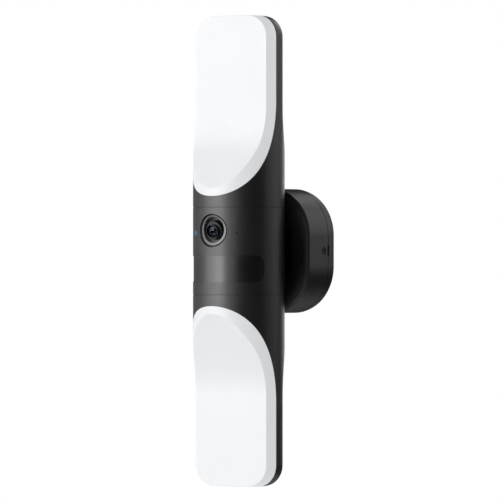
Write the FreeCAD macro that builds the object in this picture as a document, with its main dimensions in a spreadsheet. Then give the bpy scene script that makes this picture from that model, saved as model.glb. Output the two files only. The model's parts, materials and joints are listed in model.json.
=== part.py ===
"""A floodlight security camera: an upright light bar with a camera module between two lamps, on a wall mount.

Frame: the origin is the centre of the mount's back, on the wall. +Y goes into the wall, so the object looks
along -Y, +X is on its right-hand side as seen from the front, and +Z is up. Millimetres and degrees.
"""
import FreeCAD, Part
import os

import Sketcher

Vector = FreeCAD.Vector

DIMENSIONS = {
    # light bar: a cylinder with a scooped face and a scooped back on each lamp
    "bar_radius": 40.0,
    "bar_half": 205.0,
    "bar_back": 25.0,
    "bar_offset": 69.3,
    "end_round": 19.0,
    "face_depth": 12.2,
    "back_depth": 13.3,
    "scoop_radius": 85.0,
    "scoop_angle": 30.0,
    "scoop_top": 125.4,
    "ramp_length": 60.0,
    "parting_radius": 106.6,
    "parting_top": 131.0,
    "reach": 130.0,
    "wall": 2.4,
    "lip": 1.0,
    "seal_thick": 1.2,
    "face_round": 0.6,
    "back_round": 1.0,
    # camera module
    "module_half": 38.0,
    "seam_half": 0.2,
    "seam_depth": 0.6,
    "floor": 2.4,
    "cover_half_width": 27.0,
    "cover_half_height": 34.0,
    "cover_gap": 0.2,
    "neck_window": 8.8,
    "neck_window_half": 12.0,
    "boss_radius": 3.4,
    "boss_ring": 34.4,
    "boss_depth": 9.0,
    "boss_front": 50.0,
    "boss_back": 125.0,
    # lens
    "lens_z": 17.8,
    "ring_radius": 13.2,
    "ring_gap": 1.3,
    "ring_sink": 1.1,
    "ring_bore": 11.0,
    "ring_bore_lift": 0.45,
    "ring_back": 33.9,
    "flange_radius": 15.6,
    "flange_thick": 1.2,
    "bowl_front": 36.6,
    "bowl_back": 31.6,
    "bowl_mouth": 10.6,
    "bowl_throat": 9.4,
    "bowl_floor": 1.4,
    "lens_tip_y": 39.7,
    "lens_tip_z": 16.7,
    "lens_tilt": 15.0,
    "tip_radius": 6.25,
    "tip_length": 3.4,
    "tip_bore": 5.75,
    "tip_bore_depth": 2.4,
    "shoulder_radius": 8.2,
    "shoulder_end": 9.0,
    "thread_radius": 6.0,
    "thread_end": 18.5,
    "holder_end": 20.4,
    "aperture": 5.8,
    "socket_radius": 9.6,
    "socket_start": 6.0,
    "socket_end": 13.0,
    "glass_sphere": 9.5,
    "glass_proud": 0.1,
    "inner_glass_radius": 4.2,
    "inner_glass_start": 3.4,
    "inner_glass_thick": 1.2,
    "sensor_board_size": 20.0,
    "sensor_size": 8.0,
    "sensor_thick": 1.2,
    "thin_board": 1.2,
    # status light, microphone and speaker
    "light_angle": 33.5,
    "light_z": 15.6,
    "light_radius": 2.4,
    "light_depth": 8.0,
    "light_chip": 1.4,
    "mic_hole": 0.75,
    "mic_radius": 3.0,
    "mic_reach": 37.3,
    "mic_length": 3.2,
    "speaker_angle": 107.0,
    "speaker_z": -10.3,
    "speaker_hole": 0.6,
    "speaker_pitch": 3.7,
    "speaker_step": 3.2,
    "speaker_radius": 10.4,
    "speaker_front": 35.8,
    "speaker_thick": 3.0,
    "magnet_radius": 6.0,
    "magnet_thick": 3.2,
    # motion sensor
    "pir_top": -4.0,
    "pir_height": 23.0,
    "pir_span": 70.0,
    "pir_round": 9.0,
    "pir_round_angle": 12.9,
    "pir_recess": 0.5,
    "pir_back": 37.6,
    "pir_board_y": 22.8,
    "pir_board_half": 17.0,
    "pir_board_height": 17.0,
    "pir_can_radius": 4.6,
    "pir_can_height": 4.2,
    "pir_can_x": 8.5,
    # chassis, main board and antenna
    "chassis_y": 14.0,
    "chassis_thick": 2.5,
    "chassis_half_width": 25.0,
    "chassis_half_height": 32.0,
    "rear_post_x": 21.5,
    "rear_post_z": 27.0,
    "rear_post_radius": 3.0,
    "board_left": 30.0,
    "board_right": 18.0,
    "board_half_height": 33.0,
    "board_y": 6.4,
    "board_thick": 1.6,
    "front_post_left": 22.0,
    "front_post_right": 14.0,
    "front_post_z": 28.0,
    "front_post_radius": 2.2,
    "can_thick": 2.0,
    "radio_x": -16.0,
    "radio_z": -11.0,
    "radio_width": 16.0,
    "radio_height": 26.0,
    "processor_x": -6.0,
    "processor_z": 1.0,
    "processor_width": 24.0,
    "processor_height": 26.0,
    "memory_z": 21.0,
    "memory_height": 6.0,
    "link_width": 10.0,
    "link_height": 8.0,
    "antenna_angle": 22.0,
    "antenna_thick": 0.6,
    "antenna_height": 30.0,
    # lamps
    "led_board_y": 1.5,
    "led_board_thick": 1.6,
    "led_board_half": 33.0,
    "led_board_bottom": 78.0,
    "led_board_top": 196.0,
    "led_board_round": 10.0,
    "heat_plate_thick": 2.0,
    "heat_plate_bottom": 70.0,
    "lamp_post_radius": 3.5,
    "lamp_post_x": 24.0,
    "lamp_post_low": 135.0,
    "lamp_post_high": 186.0,
    "led_width": 2.8,
    "led_height": 3.5,
    "led_thick": 0.7,
    "led_first": 90.0,
    "led_step": 14.0,
    "led_column": 14.0,
    "harness_radius": 1.4,
    "harness_x": 4.5,
    "harness_start": 20.0,
    "harness_end": 82.0,
    "harness_hole": 7.0,
    # sync button on the back of the lower lamp
    "button_z": -66.0,
    "button_radius": 4.4,
    "button_clear": 0.1,
    "button_proud": 0.5,
    "button_base": 20.0,
    "button_flange": 5.6,
    "button_flange_thick": 1.6,
    "button_seal_radius": 6.2,
    "button_seal_bore": 4.7,
    "button_seal_thick": 0.8,
    "button_board_y": 14.0,
    "button_board_half": 11.0,
    "button_board_half_height": 6.0,
    "button_post_radius": 2.0,
    "button_post_x": 9.0,
    "switch_size": 6.0,
    "switch_thick": 3.2,
    "plunger_radius": 1.6,
    "plunger_thick": 0.5,
    # wall mount
    "mount_width": 106.0,
    "mount_height": 109.0,
    "mount_round": 41.0,
    "mount_front": 39.0,
    "mount_seam": 9.1,
    "mount_wall": 3.0,
    "gasket_thick": 2.0,
    "gasket_inset": 0.5,
    "gasket_width": 2.6,
    "base_floor": 3.4,
    "rim_bevel": 2.0,
    "dish_overhang": 15.1,
    "dish_arc": 37.0,
    "dish_depth": 5.6,
    "pocket_inset": 22.0,
    "pocket_round": 2.1,
    "pocket_front": 22.0,
    "pocket_back": 19.6,
    "seam_bevel": 0.35,
    "lead_hole": 13.0,
    "grommet_bore": 9.0,
    "grommet_proud": 1.0,
    "bracket_half": 48.4,
    "bracket_height": 34.0,
    "bracket_slot": 39.7,
    "bracket_slot_length": 14.4,
    "bracket_slot_width": 4.8,
    "mount_boss_x": 33.0,
    "mount_boss_z": 36.0,
    "mount_boss_radius": 4.0,
    "notch_height": 8.8,
    "notch_width": 2.3,
    "notch_depth": 3.0,
    "lock_y": 15.6,
    "lock_recess": 3.3,
    "lock_recess_depth": 1.0,
    "lock_head": 2.6,
    "lock_head_thick": 1.0,
    "lock_shank": 1.5,
    "lock_length": 7.0,
    # electronics in the mount
    "driver_y": 7.4,
    "driver_half": 26.0,
    "driver_bottom": 8.0,
    "driver_height": 36.0,
    "driver_screw_x": 22.0,
    "driver_screw_low": 12.0,
    "driver_screw_high": 40.0,
    "transformer_width": 18.0,
    "transformer_height": 15.0,
    "transformer_depth": 9.6,
    "capacitor_radius": 4.0,
    "capacitor_x": 14.4,
    "capacitor_length": 9.0,
    "choke_ring": 4.6,
    "choke_wire": 2.0,
    "terminal_half": 16.0,
    "terminal_height": 17.0,
    "terminal_bottom": -36.0,
    "terminal_depth": 12.0,
    # swivel
    "pivot_y": 33.0,
    "clevis_half_width": 20.0,
    "clevis_half_height": 21.0,
    "clevis_plate": 3.0,
    "ear_inner": 11.5,
    "ear_thick": 5.0,
    "ear_radius": 9.0,
    "tongue_half": 10.6,
    "tongue_radius": 7.0,
    "tongue_flange_half": 17.0,
    "tongue_flange_half_height": 20.0,
    "tongue_flange_thick": 3.0,
    "pin_radius": 3.0,
    "pin_clear": 0.05,
    "pin_head_radius": 5.2,
    "pin_head_thick": 3.0,
    "nut_size": 5.8,
    "nut_thick": 4.0,
    "washer_radius": 6.8,
    "washer_bore": 3.1,
    "washer_thick": 0.8,
    "clevis_screw_x": 14.5,
    "clevis_screw_z": 16.5,
    "tongue_screw_x": 13.5,
    "tongue_screw_z": 15.5,
    # screws
    "screw_shank": 1.4,
    "screw_clear": 0.2,
    "screw_head": 2.8,
    "screw_head_thick": 1.6,
    "screw_length": 8.0,
    "drive_size": 1.3,
    "drive_depth": 0.8,
}

LED_ROWS, LED_COLUMNS = 8, 3
SPEAKER_COLUMNS = (5, 6, 7, 6, 5)  # holes in each column

doc = FreeCAD.newDocument("floodlight_camera")
sheet = doc.addObject("Spreadsheet::Sheet", "dims")


class Size:
    """A size kept as an expression on the sheet, next to its present value."""

    def __init__(self, text, value):
        self.text = text
        self.value = value

    def __add__(self, other):
        other = sized(other)
        return Size(f"({self.text} + {other.text})", self.value + other.value)

    def __sub__(self, other):
        other = sized(other)
        return Size(f"({self.text} - {other.text})", self.value - other.value)

    def __mul__(self, other):
        other = sized(other)
        return Size(f"({self.text} * {other.text})", self.value * other.value)

    def __truediv__(self, other):
        other = sized(other)
        return Size(f"({self.text} / {other.text})", self.value / other.value)

    def __radd__(self, other):
        return sized(other) + self

    def __rsub__(self, other):
        return sized(other) - self

    def __rmul__(self, other):
        return sized(other) * self

    def __neg__(self):
        return Size(f"(0 - {self.text})", -self.value)


def sized(number):
    return number if isinstance(number, Size) else Size(str(number), number)


class Dimensions:
    """Every driving dimension by name, as a Size."""


D = Dimensions()
for row, (alias, value) in enumerate(DIMENSIONS.items(), start=1):
    sheet.set(f"A{row}", alias)
    sheet.set(f"B{row}", str(value))
    sheet.setAlias(f"B{row}", alias)
    setattr(D, alias, Size(f"dims.{alias}", value))
doc.recompute()

pieces = []
NOTHING = sized(0)


def bind(obj, path, size):
    obj.setExpression(path, sized(size).text)


def turned(angle):
    """The unit vector that many degrees round from +X."""
    return FreeCAD.Rotation(Vector(0, 0, 1), angle.value).multVec(Vector(1, 0, 0))


def cosine(angle):
    return Size(f"cos({angle.text} * 1 deg)", turned(angle).x)


def sine(angle):
    return Size(f"sin({angle.text} * 1 deg)", turned(angle).y)


def new(kind, name):
    return doc.addObject(kind, name)


def move(obj, at=(0, 0, 0)):
    for letter, size in zip("xyz", at):
        bind(obj, f"Placement.Base.{letter}", size)
    return obj


def turn(obj, axis, angle):
    """Turns obj about an axis through its own origin."""
    obj.Placement.Rotation = FreeCAD.Rotation(Vector(*axis), 1)
    bind(obj, "Placement.Rotation.Angle", angle)
    return obj


UP = ((0, 0, 1), 0)
FORWARD = ((1, 0, 0), 90)
BACKWARD = ((1, 0, 0), -90)
RIGHT = ((0, 1, 0), 90)
DOWN = ((1, 0, 0), 180)
LENS_FORWARD = ((1, 0, 0), 90 + D.lens_tilt)
SCREW_WAYS = {  # for where the head looks: where the shank points, and a step along the head
    FORWARD: (BACKWARD, (0, -1, 0)),
    BACKWARD: (FORWARD, (0, 1, 0)),
    UP: (DOWN, (0, 0, 1)),
    DOWN: (UP, (0, 0, -1)),
}


def aim(obj, way):
    axis, angle = way
    return obj if way is UP else turn(obj, axis, angle)


def outward(phi):
    """The direction that leaves the bar's axis phi degrees to the right of straight ahead."""
    ahead = FreeCAD.Rotation(Vector(0, 0, 1), phi).multVec(Vector(1, 0, 0))
    return ((ahead.x, ahead.y, 0), 90)


def box(name, low, high):
    """An upright box from its lowest corner to its highest."""
    obj = new("Part::Box", name)
    for prop, a, b in zip(("Length", "Width", "Height"), low, high):
        bind(obj, prop, sized(b) - a)
    return move(obj, low)


def cylinder(name, radius, length, at=(0, 0, 0), way=UP):
    obj = new("Part::Cylinder", name)
    bind(obj, "Radius", radius)
    bind(obj, "Height", length)
    return move(aim(obj, way), at)


def cone(name, start_radius, end_radius, length, at, way):
    obj = new("Part::Cone", name)
    bind(obj, "Radius1", start_radius)
    bind(obj, "Radius2", end_radius)
    bind(obj, "Height", length)
    return move(aim(obj, way), at)


def fuse(name, *parts):
    obj = new("Part::MultiFuse", name)
    obj.Shapes = list(parts)
    return obj


def common(name, *parts):
    obj = new("Part::MultiCommon", name)
    obj.Shapes = list(parts)
    return obj


def cut(name, base, *tools):
    obj = new("Part::Cut", name)
    obj.Base = base
    obj.Tool = tools[0] if len(tools) == 1 else fuse(name + "_tools", *tools)
    return obj


def group(name, *parts):
    """Several separate solids in one node."""
    obj = new("Part::Compound", name)
    obj.Links = list(parts)
    return obj


def mirror(name, source, normal, at=(0, 0, 0)):
    obj = new("Part::Mirroring", name)
    obj.Source = source
    obj.Normal = Vector(*normal)
    for letter, size in zip("xyz", at):
        bind(obj, f"Base.{letter}", size)
    return obj


def piece(label, obj):
    """Names obj as a sub-part of its own."""
    obj.Label = label
    if obj.Label != label:
        raise RuntimeError(f"the label {label} is taken")
    pieces.append(obj)
    return obj


def plane_of(body, role):
    return next(f for f in body.Origin.OriginFeatures if f.Role == role)


def rectangle(body, role, width, height):
    """A sketch of a rectangle centred on the origin of one of the body's own planes."""
    sketch = body.newObject("Sketcher::SketchObject", body.Name + "_outline")
    sketch.AttachmentSupport = [(plane_of(body, role), "")]
    sketch.MapMode = "FlatFace"
    half_w, half_h = width.value / 2, height.value / 2
    corners = [(-half_w, -half_h), (half_w, -half_h), (half_w, half_h), (-half_w, half_h)]
    for start, end in zip(corners, corners[1:] + corners[:1]):
        sketch.addGeometry(Part.LineSegment(Vector(*start, 0), Vector(*end, 0)))
    for side in range(4):
        sketch.addConstraint(Sketcher.Constraint("Coincident", side, 2, (side + 1) % 4, 1))
        sketch.addConstraint(Sketcher.Constraint("Vertical" if side % 2 else "Horizontal", side))
    sketch.addConstraint(Sketcher.Constraint("Symmetric", 0, 1, 1, 2, -1, 1))
    across = sketch.addConstraint(Sketcher.Constraint("Distance", 0, width.value))
    upright = sketch.addConstraint(Sketcher.Constraint("Distance", 1, height.value))
    sketch.setExpression(f"Constraints[{across}]", width.text)
    sketch.setExpression(f"Constraints[{upright}]", height.text)
    return sketch


def pad(body, sketch, length):
    feature = body.newObject("PartDesign::Pad", body.Name + "_pad")
    feature.Profile = sketch
    bind(feature, "Length", length)
    doc.recompute()
    return feature


def dress(body, kind, prop, size, edge_test):
    """A PartDesign fillet or chamfer on every edge of the body's tip that passes edge_test."""
    base = body.Tip
    names = [f"Edge{i}" for i, edge in enumerate(base.Shape.Edges, start=1) if edge_test(edge)]
    feature = body.newObject("PartDesign::" + kind, f"{body.Name}_{kind.lower()}")
    feature.Base = (base, names)
    bind(feature, prop, size)
    doc.recompute()
    return feature


def along_y(edge):
    return edge.Curve.TypeId == "Part::GeomLine" and abs(edge.tangentAt(edge.FirstParameter).y) > 0.99


def on_plane_y(y):
    """Edges that lie wholly in the plane at that y of the body's own frame."""
    return lambda edge: max(abs(v.Point.y - y) for v in edge.Vertexes) < 1e-4


def slab(name, width, height, thick, corner, at):
    """A rounded rectangle that stands in the plane y, and reaches forward from it by its thickness."""
    body = new("PartDesign::Body", name)
    pad(body, rectangle(body, "XZ_Plane", sized(width), sized(height)), thick)
    dress(body, "Fillet", "Radius", corner, along_y)
    return move(body, at)


def bar_y(depth):
    """The row's y of a depth measured back from the bar's axis."""
    return depth - D.bar_offset


def circle(body, role, radius):
    """A sketch of a circle round the origin of one of the body's own planes."""
    sketch = body.newObject("Sketcher::SketchObject", body.Name + "_outline")
    sketch.AttachmentSupport = [(plane_of(body, role), "")]
    sketch.MapMode = "FlatFace"
    sketch.addGeometry(Part.Circle(Vector(), Vector(0, 0, 1), radius.value))
    sketch.addConstraint(Sketcher.Constraint("Coincident", 0, 3, -1, 1))
    across = sketch.addConstraint(Sketcher.Constraint("Radius", 0, radius.value))
    sketch.setExpression(f"Constraints[{across}]", radius.text)
    return sketch


def tower(name, radius, low, high, end_round):
    """An upright column round the bar's axis, with its top edge rounded."""
    body = new("PartDesign::Body", name)
    pad(body, circle(body, "XY_Plane", radius), high - low)
    dress(body, "Fillet", "Radius", end_round, lambda edge: edge.BoundBox.ZMin > D.wall.value)
    return move(body, (0, bar_y(0), low))


def screw(name, at, way, length=D.screw_length, head=D.screw_head, shank=D.screw_shank):
    """A pan head screw: `at` is where the head meets the surface, and `way` is where the head looks."""
    opposite, step = SCREW_WAYS[way]
    crown = [sized(a) + s * (D.screw_head_thick - D.drive_depth) for a, s in zip(at, step)]
    drive = new("Part::Prism", name + "_drive")
    bind(drive, "Circumradius", D.drive_size)
    bind(drive, "Height", D.drive_depth)
    move(aim(drive, way), crown)
    top = cylinder(name + "_head", head, D.screw_head_thick, at, way)
    rod = cylinder(name + "_shank", shank, length, at, opposite)
    return cut(name, fuse(name + "_whole", top, rod), drive)


def screws(label, places, way, **sizes):
    """A node of identical screws."""
    made = [screw(f"{label}_{i}", at, way, **sizes) for i, at in enumerate(places)]
    return piece(label, group(label, *made))


def four(x, z):
    return [(a, b) for a in (-x, x) for b in (-z, z)]


# ---------------------------------------------------------------- light bar envelope


def scoop(name, inset):
    """What is cut off the front of the upper lamp: a ramp, then an arc, then a flat to the end."""
    centre_y = bar_y(-(D.face_depth + D.scoop_radius))
    radius = D.scoop_radius + inset
    arc = cylinder(name + "_arc", radius, D.reach, (-D.reach / 2, centre_y, D.scoop_top), RIGHT)
    flat = box(
        name + "_flat",
        (-D.reach / 2, centre_y, D.scoop_top),
        (D.reach / 2, bar_y(inset - D.face_depth), D.bar_half + D.wall),
    )
    ramp = new("Part::Box", name + "_ramp")
    bind(ramp, "Length", D.reach)
    bind(ramp, "Width", radius)
    bind(ramp, "Height", D.ramp_length)
    turn(ramp, (1, 0, 0), -D.scoop_angle)
    low_y = centre_y - D.ramp_length * sine(D.scoop_angle)
    move(ramp, (-D.reach / 2, low_y, D.scoop_top - D.ramp_length * cosine(D.scoop_angle)))
    return fuse(name, arc, flat, ramp)


def envelope(name, inset):
    """The outside of the upper lamp, drawn in by inset."""
    bottom = D.module_half + D.seam_half
    column = tower(name + "_column", D.bar_radius - inset, bottom, D.bar_half - inset, D.end_round - inset)
    front = scoop(name + "_front", inset)
    middle = bar_y((D.back_depth - D.face_depth) / 2)
    back = mirror(name + "_back", front, (0, 1, 0), (0, middle, 0))
    flat_low = (-D.reach / 2, bar_y(D.bar_back - inset), 0)
    flat = box(name + "_flat", flat_low, (D.reach / 2, bar_y(D.reach), D.bar_half))
    return cut(name, column, front, back, flat)


def lens_side(name, shift):
    """All that lies in front of the parting between the diffuser and its housing, moved back by shift."""
    centre_y = bar_y(shift - D.parting_radius)
    arc = cylinder(name + "_arc", D.parting_radius, D.reach, (-D.reach / 2, centre_y, D.parting_top), RIGHT)
    low = (-D.reach / 2, centre_y, D.parting_top)
    flat = box(name + "_flat", low, (D.reach / 2, bar_y(shift), D.bar_half + D.wall))
    return fuse(name, arc, flat)


def scoop_edges(shape, depth, side):
    """The numbers of the edges round a scoop.

    `depth` is how far its flat is from the bar's axis, and `side` is -1 for the front and 1 for the back.
    """
    chosen = []
    for number, edge in enumerate(shape.Edges, start=1):
        box_of = edge.BoundBox
        near, far = sorted(side * (y + D.bar_offset.value) for y in (box_of.YMin, box_of.YMax))
        across = box_of.ZLength < 0.01 and box_of.ZMax < D.bar_half.value - D.end_round.value
        on_flat = abs(near - depth) < 0.05 and far - near < 0.05
        curved = edge.Curve.TypeId != "Part::GeomLine"
        on_ramp = curved and near >= depth - 0.1 and box_of.ZMax <= D.scoop_top.value + 0.1
        if not across and (on_flat or on_ramp):
            chosen.append(number)
    return chosen


def round_off(name, base, radius, depth, side):
    """Rounds the edges of one scoop."""
    doc.recompute()
    obj = new("Part::Fillet", name)
    obj.Base = base
    numbers = scoop_edges(base.Shape, depth.value, side)
    obj.Edges = [(number, radius.value, radius.value) for number in numbers]
    return obj


sharp = envelope("lamp_outside", NOTHING)
front_rounded = round_off("lamp_front_round", sharp, D.face_round, D.face_depth, -1)
outside = round_off("lamp_back_round", front_rounded, D.back_round, D.back_depth, 1)
lip_line = envelope("lamp_lip", D.lip)
inside = envelope("lamp_inside", D.wall)
diffuser_side = lens_side("diffuser_side", NOTHING)


def bosses(name, radius, length, bottom):
    """The four screw places that join the camera module to a lamp, as cylinders."""
    parts = []
    for angle in (D.boss_front, D.boss_back):
        for side in (-1, 1):
            at = (side * D.boss_ring * sine(angle), bar_y(-(D.boss_ring * cosine(angle))), bottom)
            parts.append(cylinder(f"{name}_{len(parts)}", radius, length, at))
    return parts


def upper_lamp():
    """The lamp above the camera; the lower one is its mirror image."""
    solid = common("diffuser_solid", outside, diffuser_side)
    diffuser = cut("diffuser_shell", solid, inside)
    bottom = D.module_half + D.seam_half
    room = box(
        "lamp_room",
        (-D.reach / 2, bar_y(-D.reach / 2), bottom + D.floor),
        (D.reach / 2, bar_y(D.reach / 2), D.bar_half),
    )
    seal_band = cut("seal_band", lens_side("seal_side", D.seal_thick), diffuser_side)
    seal = common("lamp_seal", cut("seal_ring", lip_line, inside), seal_band)
    cavity = common("lamp_cavity", inside, room)
    lead_way = cylinder("lead_way", D.harness_hole, 2 * D.floor, (0, bar_y(0), bottom - D.floor / 2))
    screw_ways = bosses("lamp_screw_way", D.screw_shank + D.screw_clear, 2 * D.floor, bottom - D.floor / 2)
    shell = cut("lamp_shell", outside, diffuser_side, cavity, seal, lead_way, *screw_ways)
    plate_back = D.led_board_y + D.led_board_thick + D.heat_plate_thick
    posts = [
        cylinder(
            f"lamp_post_{i}",
            D.lamp_post_radius,
            D.back_depth - D.wall / 2 - plate_back,
            (x, bar_y(plate_back), z),
            BACKWARD,
        )
        for i, (x, z) in enumerate(
            (side * D.lamp_post_x, z) for side in (-1, 1) for z in (D.lamp_post_low, D.lamp_post_high)
        )
    ]
    ways = [
        cylinder(f"lamp_post_way_{i}", D.screw_shank, D.screw_length, (x, bar_y(D.led_board_y), z), BACKWARD)
        for i, (x, z) in enumerate(
            (side * D.lamp_post_x, z) for side in (-1, 1) for z in (D.lamp_post_low, D.lamp_post_high)
        )
    ]
    housing = cut("lamp_housing", fuse("lamp_shell_posts", shell, *posts), *ways)
    return diffuser, housing, seal


def lamp_electronics():
    """LED board, its chips and heat plate, in the upper lamp."""
    height = D.led_board_top - D.led_board_bottom
    middle = (D.led_board_top + D.led_board_bottom) / 2
    width = 2 * D.led_board_half
    back = D.led_board_y + D.led_board_thick
    board = slab("led_board_body", width, height, D.led_board_thick, D.led_board_round,
                 (0, bar_y(back), middle))
    plate_height = D.led_board_top - D.heat_plate_bottom
    plate_middle = (D.led_board_top + D.heat_plate_bottom) / 2
    plate_at = (0, bar_y(back + D.heat_plate_thick), plate_middle)
    plate = slab("heat_plate_body", width, plate_height, D.heat_plate_thick, D.led_board_round, plate_at)
    places = [(side * D.lamp_post_x, z) for side in (-1, 1) for z in (D.lamp_post_low, D.lamp_post_high)]
    ways = [
        cylinder(f"led_way_{i}", D.screw_shank, D.wall * 4, (x, bar_y(D.led_board_y - D.wall), z), BACKWARD)
        for i, (x, z) in enumerate(places)
    ]
    chips = []
    for row in range(LED_ROWS):
        for column in range(LED_COLUMNS):
            x = (column - (LED_COLUMNS - 1) / 2) * D.led_column
            z = D.led_first + row * D.led_step
            low = (x - D.led_width / 2, bar_y(D.led_board_y - D.led_thick), z - D.led_height / 2)
            high = (x + D.led_width / 2, bar_y(D.led_board_y), z + D.led_height / 2)
            chips.append(box(f"led_{row}_{column}", low, high))
    fixings = [
        screw(f"led_screw_{i}", (x, bar_y(D.led_board_y), z), FORWARD, length=D.screw_length - D.wall / 2)
        for i, (x, z) in enumerate(places)
    ]
    return (
        cut("led_board_drilled", board, *ways),
        cut("heat_plate_drilled", plate, *ways),
        group("upper_led_chips", *chips),
        group("upper_led_fixings", *fixings),
    )


def lamps():
    diffuser, housing, seal = upper_lamp()
    board, plate, chips, fixings = lamp_electronics()
    button_at = (0, bar_y(D.bar_back - 2 * D.wall), D.button_z)
    button_way = cylinder("button_way", D.button_radius + D.button_clear, D.wall * 3, button_at, BACKWARD)
    posts = [
        cylinder(
            f"button_post_{i}",
            D.button_post_radius,
            D.bar_back - D.wall / 2 - D.button_board_y - D.thin_board,
            (side * D.button_post_x, bar_y(D.button_board_y + D.thin_board), D.button_z),
            BACKWARD,
        )
        for i, side in enumerate((-1, 1))
    ]
    piece("upper_diffuser", diffuser)
    piece("lower_diffuser", mirror("lower_diffuser", diffuser, (0, 0, 1)))
    piece("upper_led_board", board)
    piece("lower_led_board", mirror("lower_led_board", board, (0, 0, 1)))
    for label, obj in (("diffuser_seals", seal), ("heat_plates", plate), ("led_chips", chips),
                       ("led_board_screws", fixings)):
        piece(label, group(label, obj, mirror(label + "_lower", obj, (0, 0, 1))))
    piece("upper_lamp_housing", housing)
    lower = fuse("lower_lamp_posts", mirror("lower_lamp_shell", housing, (0, 0, 1)), *posts)
    piece("lower_lamp_housing", cut("lower_lamp_housing", lower, button_way))


# ---------------------------------------------------------------- camera module


def pir_opening():
    """The motion sensor's window, with round ends, as a solid ring segment wider than the wall."""
    radius = D.bar_radius + D.wall
    parts = []
    middle = D.pir_top - D.pir_height / 2

    def segment(name, half_angle, height):
        obj = cylinder(name, radius, height, (0, bar_y(0), middle - height / 2))
        bind(obj, "Angle", 2 * half_angle)
        return turn(obj, (0, 0, 1), -90 - half_angle)

    parts.append(segment("pir_middle", D.pir_span - D.pir_round_angle, D.pir_height))
    parts.append(segment("pir_ends", D.pir_span, D.pir_height - 2 * D.pir_round))
    end_angle = (D.pir_span - D.pir_round_angle).value
    for side in (-1, 1):
        for up in (-1, 1):
            z = middle + up * (D.pir_height / 2 - D.pir_round)
            name = f"pir_corner_{len(parts)}"
            parts.append(cylinder(name, D.pir_round, radius, (0, bar_y(0), z), outward(side * end_angle)))
    return fuse("pir_opening", *parts)


def speaker_holes():
    """Round holes in five staggered columns, all square to the wall at the speaker's middle."""
    angle = D.speaker_angle
    holes = []
    for column, count in enumerate(SPEAKER_COLUMNS):
        aside = (column - (len(SPEAKER_COLUMNS) - 1) / 2) * D.speaker_step
        for row in range(count):
            z = D.speaker_z + (row - (count - 1) / 2) * D.speaker_pitch
            at = (
                aside * cosine(angle) + D.speaker_front * sine(angle),
                bar_y(aside * sine(angle) - D.speaker_front * cosine(angle)),
                z,
            )
            holes.append(cylinder(f"speaker_hole_{len(holes)}", D.speaker_hole, 3 * D.wall, at,
                                  outward(D.speaker_angle.value)))
    return fuse("speaker_holes", *holes)


def radial(name, phi, radius, start, length, z):
    """A cylinder that points away from the bar's axis, phi degrees to the right of straight ahead."""
    at = (start * sine(phi), bar_y(-(start * cosine(phi))), z)
    return cylinder(name, radius, length, at, outward(phi.value))


def camera_housing():
    half = D.module_half - D.seam_half
    drum = cylinder("module_drum", D.bar_radius, 2 * half, (0, bar_y(0), -half))
    bore = cylinder("module_bore", D.bar_radius - D.wall, 2 * D.module_half, (0, bar_y(0), -D.module_half))
    keep = box(
        "module_keep",
        (-D.reach / 2, bar_y(-D.reach / 2), -D.module_half),
        (D.reach / 2, bar_y(D.bar_back), D.module_half),
    )
    room = box(
        "module_room",
        (-D.reach / 2, bar_y(-D.reach / 2), -D.module_half),
        (D.reach / 2, bar_y(D.bar_back - D.wall), D.module_half),
    )
    window = box(
        "cover_window",
        (-D.cover_half_width, bar_y(D.bar_back - 2 * D.wall), -D.cover_half_height),
        (D.cover_half_width, bar_y(D.bar_back + D.wall), D.cover_half_height),
    )
    solid = common("module_solid", drum, keep)
    tube = cut("module_tube", solid, common("module_inside", bore, room))
    upper = bosses("module_boss_up", D.boss_radius, D.boss_depth, half - D.boss_depth)
    lower = bosses("module_boss_down", D.boss_radius, D.boss_depth, -half)
    walled = common("module_trimmed", fuse("module_bossed", tube, *upper, *lower), solid)
    upper_ways = bosses("module_way_up", D.screw_shank, D.boss_depth, half - D.boss_depth + D.wall)
    lower_ways = bosses("module_way_down", D.screw_shank, D.boss_depth, -half - D.wall)
    ring_hole = D.ring_radius + D.ring_gap
    lens_way = cylinder("lens_way", ring_hole, D.bar_radius, (0, bar_y(0), D.lens_z), FORWARD)
    start, length = D.bar_radius - 2 * D.wall, 3 * D.wall
    light_way = radial("light_way", -D.light_angle, D.light_radius, start, length, D.light_z)
    mic_way = radial("mic_way", D.light_angle, D.mic_hole, start, length, D.light_z)
    piece(
        "camera_housing",
        cut("camera_housing", walled, window, *upper_ways, *lower_ways, lens_way, light_way, mic_way,
            pir_opening_tool, speaker_holes()),
    )


pir_opening_tool = pir_opening()


def motion_sensor():
    outer = cylinder(
        "pir_face", D.bar_radius - D.pir_recess, D.pir_height, (0, bar_y(0), D.pir_top - D.pir_height)
    )
    inner = cylinder(
        "pir_hollow", D.pir_back, 2 * D.pir_height, (0, bar_y(0), D.pir_top - 1.5 * D.pir_height)
    )
    piece("motion_sensor_window", common("motion_window", cut("pir_skin", outer, inner), pir_opening_tool))
    middle = D.pir_top - D.pir_height / 2
    piece("motion_sensor_board", slab(
        "motion_board", 2 * D.pir_board_half, D.pir_board_height, D.thin_board, D.light_radius,
        (0, bar_y(-D.pir_board_y), middle)))
    front = -(D.pir_board_y + D.thin_board)
    cans = []
    for i, side in enumerate((-1, 1)):
        at = (side * D.pir_can_x, bar_y(front), middle)
        cans.append(cylinder(f"pir_can_{i}", D.pir_can_radius, D.pir_can_height, at, FORWARD))
    piece("motion_sensors", group("motion_sensors", *cans))


def lens_point(along):
    """The point that far behind the lens tip, on the lens axis."""
    return (
        0,
        bar_y(along * cosine(D.lens_tilt) - D.lens_tip_y),
        D.lens_tip_z + along * sine(D.lens_tilt),
    )


def lens_cylinder(name, radius, start, end):
    return cylinder(name, radius, sized(end) - start, lens_point(sized(end)), LENS_FORWARD)


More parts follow.
